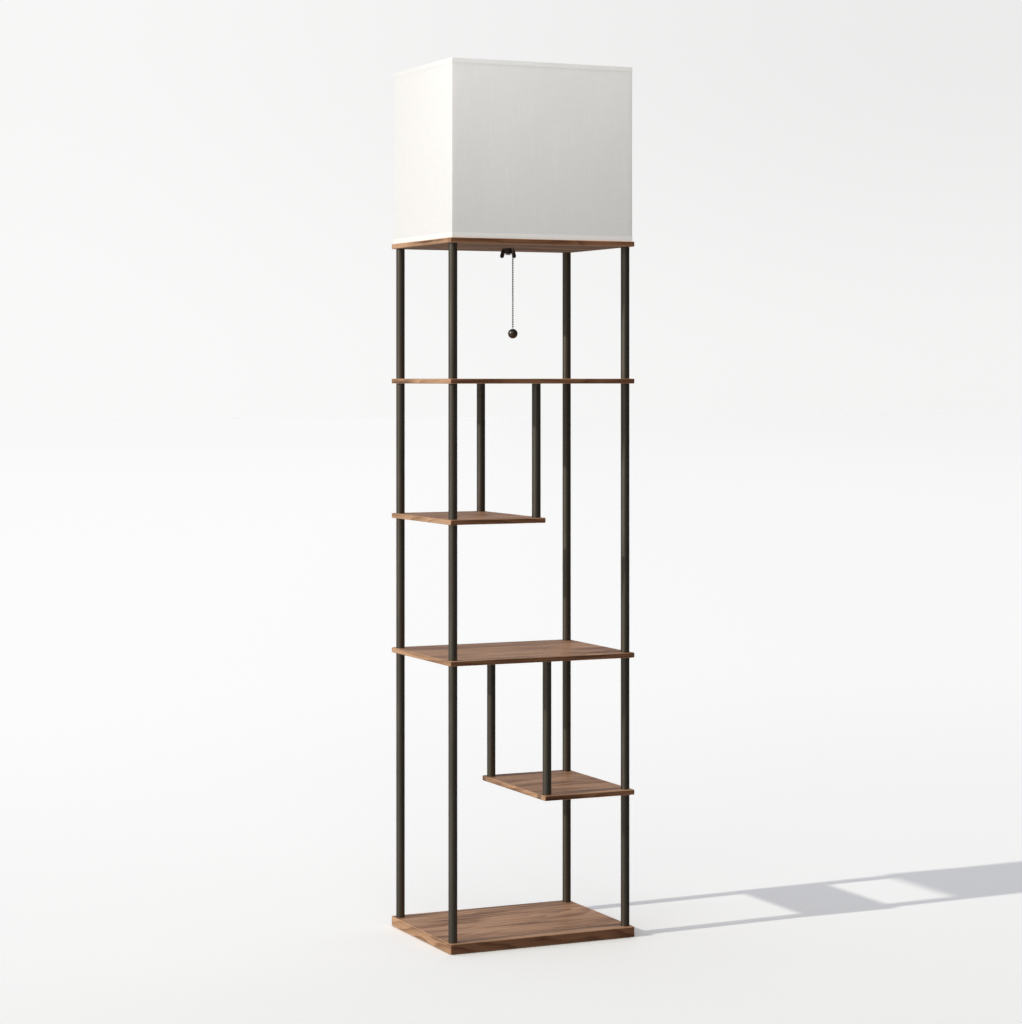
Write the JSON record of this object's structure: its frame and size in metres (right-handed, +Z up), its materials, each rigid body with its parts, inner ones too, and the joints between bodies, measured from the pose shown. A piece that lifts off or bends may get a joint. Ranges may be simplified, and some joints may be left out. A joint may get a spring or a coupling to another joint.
{
  "type": "shelf floor lamp",
  "caption": "Tall square tower of thin wood shelves on slender metal tubes, with half shelves inside, carrying a rectangular fabric box shade over a pull-chain lamp holder.",
  "frame": {"origin": "on the floor, under the middle of the base board", "axes": "+Z up, +X along the front edge to the right, -Y towards the front"},
  "size_m": [0.37, 0.28, 1.6],
  "materials": {
    "walnut_veneer": "satin lacquered walnut veneer",
    "bronze_tube": "satin dark bronze lacquer",
    "zinc_steel": "bright zinc plate",
    "felt": "dark pressed felt",
    "brass": "plain brass",
    "bronze_cast": "satin dark bronze",
    "black_phenolic": "moulded, dull",
    "fibre_sleeve": "pressed fibre",
    "white_moulding": "dull white",
    "opal_plastic": "opal diffuser",
    "nickel_chain": "nickel plate, slightly dull",
    "ivory_fabric": "fine off-white weave",
    "shade_liner": "white film, faint sheen",
    "white_wire": "white epoxy coat"
  },
  "bodies": {
    "frame": {"base_board": "walnut_veneer", "centre_contact": "brass", "chain_guide": "brass", "cord_bush": "black_phenolic", "floor_pads": "felt", "hanger_back_lower": "bronze_tube", "hanger_back_upper": "bronze_tube", "hanger_bolts": "zinc_steel", "hanger_front_lower": "bronze_tube", "hanger_front_upper": "bronze_tube", "holder_foot": "black_phenolic", "holder_shell": "brass", "insulating_sleeve": "fibre_sleeve", "lamp_pipe": "zinc_steel", "long_tube_back_left": "bronze_tube", "long_tube_back_right": "bronze_tube", "long_tube_front_left": "bronze_tube", "long_tube_front_right": "bronze_tube", "lower_right_shelf": "walnut_veneer", "middle_shelf": "walnut_veneer", "post_bolts": "zinc_steel", "return_spring": "zinc_steel", "screw_shell": "brass", "shade_cover": "ivory_fabric", "shade_fitter": "white_wire", "shade_hems": "ivory_fabric", "shade_liner_back": "shade_liner", "shade_liner_front": "shade_liner", "shade_liner_left": "shade_liner", "shade_liner_right": "shade_liner", "shade_top_ring": "white_wire", "switch_base": "black_phenolic", "top_board": "walnut_veneer", "tube_back_left_3": "bronze_tube", "tube_back_left_4": "bronze_tube", "tube_back_left_5": "bronze_tube", "tube_back_right_1": "bronze_tube", "tube_back_right_2": "bronze_tube", "tube_back_right_5": "bronze_tube", "tube_front_left_3": "bronze_tube", "tube_front_left_4": "bronze_tube", "tube_front_left_5": "bronze_tube", "tube_front_right_1": "bronze_tube", "tube_front_right_2": "bronze_tube", "tube_front_right_5": "bronze_tube", "upper_left_shelf": "walnut_veneer", "upper_shelf": "walnut_veneer"},
    "washer": {"wing_nut_washer": "zinc_steel"},
    "wing_nut": {"wing_nut": "bronze_cast"},
    "bulb_seat": {"bulb_tip": "zinc_steel"},
    "bulb": {"bulb_cap": "zinc_steel", "bulb_housing": "white_moulding", "bulb_globe": "opal_plastic"},
    "chain_top": {"chain_upper": "nickel_chain"},
    "lever": {"pull_lever": "zinc_steel"},
    "rotor": {"switch_rotor": "white_moulding"},
    "chain_link": {"chain_swivel": "nickel_chain"},
    "chain": {"pull_chain": "nickel_chain", "pull_ball": "bronze_cast"}
  },
  "joints": [
    {"name": "washer_travel", "type": "slide", "parent": "frame", "child": "washer", "axis": [0, 0, -1], "range_m": [0, 0.009]},
    {"name": "wing_nut_turn", "type": "hinge", "parent": "washer", "child": "wing_nut", "pos_m": [0, 0.017, 1.2685], "axis": [0, 0, -1], "range_deg": [0, 2160]},
    {"name": "bulb_lift", "type": "slide", "parent": "frame", "child": "bulb_seat", "axis": [0, 0, 1], "range_m": [0, 0.0182]},
    {"name": "bulb_turn", "type": "hinge", "parent": "bulb_seat", "child": "bulb", "pos_m": [0, 0.017, 1.3193], "axis": [0, 0, 1], "range_deg": [0, 1800]},
    {"name": "chain_pull", "type": "slide", "parent": "frame", "child": "chain_top", "axis": [0, 0, -1], "range_m": [0, 0.006], "stiffness_N_per_m": 600, "springref_m": -0.002, "deforming": ["return_spring"]},
    {"name": "lever_turn", "type": "hinge", "parent": "frame", "child": "lever", "pos_m": [0, 0.009, 1.3062], "axis": [1, 0, 0], "range_deg": [0, 26]},
    {"name": "rotor_turn", "type": "hinge", "parent": "frame", "child": "rotor", "pos_m": [0, 0.02, 1.3062], "axis": [1, 0, 0], "continuous": true},
    {"name": "chain_swing_side", "type": "hinge", "parent": "chain_top", "child": "chain_link", "pos_m": [0, -0.004, 1.2655], "axis": [0, 1, 0], "range_deg": [-20, 20]},
    {"name": "chain_swing_front", "type": "hinge", "parent": "chain_link", "child": "chain", "pos_m": [0, -0.004, 1.2655], "axis": [1, 0, 0], "range_deg": [-20, 20]}
  ],
  "couplings": [
    {"joint": "washer_travel", "follows": "wing_nut_turn", "m_per_rad": 0.00023873},
    {"joint": "bulb_lift", "follows": "bulb_turn", "m_per_rad": 0.00057757},
    {"joint": "lever_turn", "follows": "chain_pull", "rad_per_m": 75.6}
  ]
}
